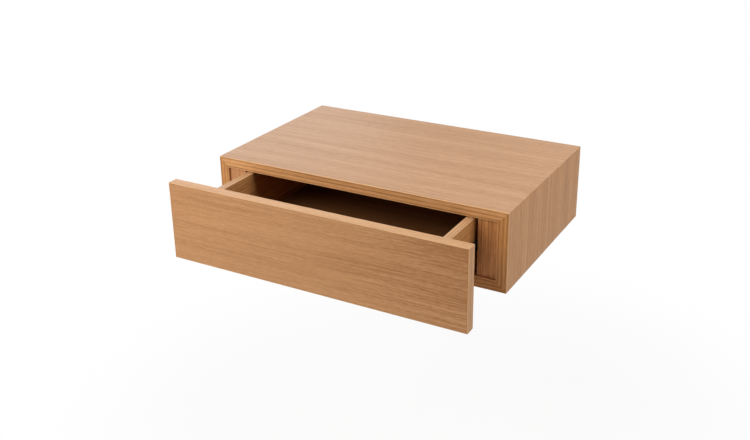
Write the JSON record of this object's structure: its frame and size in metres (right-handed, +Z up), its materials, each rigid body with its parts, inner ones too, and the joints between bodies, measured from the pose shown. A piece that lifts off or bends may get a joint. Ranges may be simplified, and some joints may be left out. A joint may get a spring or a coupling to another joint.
{
  "type": "floating shelf with drawer",
  "caption": "Wall-hung box shelf in pale wood veneer with mitred corners and a full-width drawer on side-mounted ball-bearing slides; hangs on hidden hooked rails.",
  "frame": {"origin": "on the wall plane, at the middle of the wall rail's line of screw holes, which is the middle of the shelf's width and height", "axes": "+X to the right as seen from the front, +Y into the wall, +Z up; the drawer opens towards -Y"},
  "size_m": [0.6, 0.523, 0.15],
  "materials": {
    "oak_veneer": "satin",
    "oak_edging": "satin",
    "oak_solid": "satin",
    "plywood": "matte",
    "batten_wood": "matte",
    "beech": "matte",
    "black_steel": "satin",
    "cage_steel": "satin",
    "ball_steel": "polished",
    "screw_steel": "satin",
    "rail_aluminium": "satin",
    "bumper_plastic": "matte"
  },
  "bodies": {
    "carcass": {"top_panel": "oak_veneer", "bottom_panel": "oak_veneer", "left_side_panel": "oak_veneer", "right_side_panel": "oak_veneer", "top_edging": "oak_edging", "bottom_edging": "oak_edging", "left_edging": "oak_edging", "right_edging": "oak_edging", "mitre_splines": "beech", "back_panel": "plywood", "back_panel_screws": "screw_steel", "left_stile": "oak_veneer", "right_stile": "oak_veneer", "left_runner_batten": "batten_wood", "right_runner_batten": "batten_wood", "batten_screws": "screw_steel", "left_slide_outer": "black_steel", "right_slide_outer": "black_steel", "slide_outer_screws": "screw_steel", "carcass_rail": "rail_aluminium", "carcass_rail_screws": "screw_steel", "wall_rail": "rail_aluminium"},
    "drawer": {"drawer_front": "oak_veneer", "front_top_edging": "oak_edging", "front_bottom_edging": "oak_edging", "front_left_edging": "oak_edging", "front_right_edging": "oak_edging", "drawer_left_side": "oak_solid", "drawer_right_side": "oak_solid", "drawer_back": "oak_solid", "drawer_bottom": "plywood", "drawer_bottom_screws": "screw_steel", "front_dowels": "beech", "back_dowels": "beech", "left_slide_inner": "black_steel", "right_slide_inner": "black_steel", "slide_inner_screws": "screw_steel", "front_bumpers": "bumper_plastic"},
    "left_cage": {"left_slide_cage": "cage_steel", "left_slide_balls": "ball_steel"},
    "right_cage": {"right_slide_cage": "cage_steel", "right_slide_balls": "ball_steel"}
  },
  "joints": [
    {"name": "drawer_slide", "type": "slide", "parent": "carcass", "child": "drawer", "axis": [0, -1, 0], "range_m": [-0.1314, 0.0936]},
    {"name": "left_cage_slide", "type": "slide", "parent": "carcass", "child": "left_cage", "axis": [0, -1, 0], "range_m": [-0.0657, 0.0468]},
    {"name": "right_cage_slide", "type": "slide", "parent": "carcass", "child": "right_cage", "axis": [0, -1, 0], "range_m": [-0.0657, 0.0468]}
  ],
  "couplings": [
    {"joint": "left_cage_slide", "follows": "drawer_slide", "ratio": 0.5},
    {"joint": "right_cage_slide", "follows": "drawer_slide", "ratio": 0.5}
  ]
}
